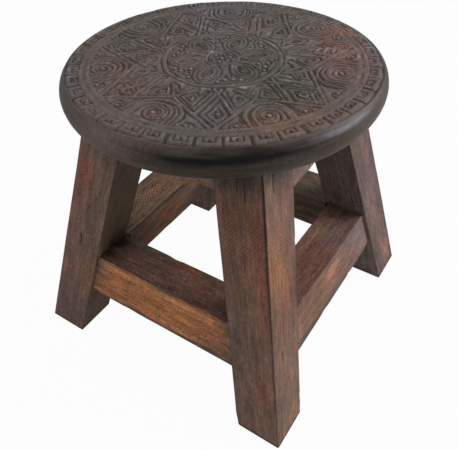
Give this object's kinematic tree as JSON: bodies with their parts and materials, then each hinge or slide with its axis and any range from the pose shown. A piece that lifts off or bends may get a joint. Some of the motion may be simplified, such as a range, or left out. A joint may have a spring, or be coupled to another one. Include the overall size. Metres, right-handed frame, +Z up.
{
  "type": "wooden stool",
  "caption": "Low wooden stool with a round, rolled-edge carved seat on leaning square legs, tied by stretchers near the floor and by rails under the seat.",
  "frame": {"origin": "on the floor, at the middle of the square on which the feet stand", "axes": "+Z up; the four legs stand towards (-X, -Y) front, (-X, +Y) left, (+X, -Y) right and (+X, +Y) back; the picture looks from -X -Y, above"},
  "size_m": [0.267, 0.267, 0.259],
  "materials": {
    "seat_wood": "dark grey-brown stain, waxed and rubbed on the rolled edge",
    "leg_wood": "worn red-brown stain with dark grain",
    "stretcher_wood": "thin worn orange-brown stain, saw marks left in places",
    "rail_wood": "paler, thinly stained wood"
  },
  "bodies": {
    "root": {"seat": "seat_wood", "leg_front": "leg_wood", "leg_left": "leg_wood", "leg_right": "leg_wood", "leg_back": "leg_wood", "stretcher_front_left": "stretcher_wood", "stretcher_front_right": "stretcher_wood", "stretcher_back_left": "stretcher_wood", "stretcher_back_right": "stretcher_wood", "rail_front_left": "rail_wood", "rail_front_right": "rail_wood", "rail_back_left": "rail_wood", "rail_back_right": "rail_wood"}
  },
  "joints": []
}
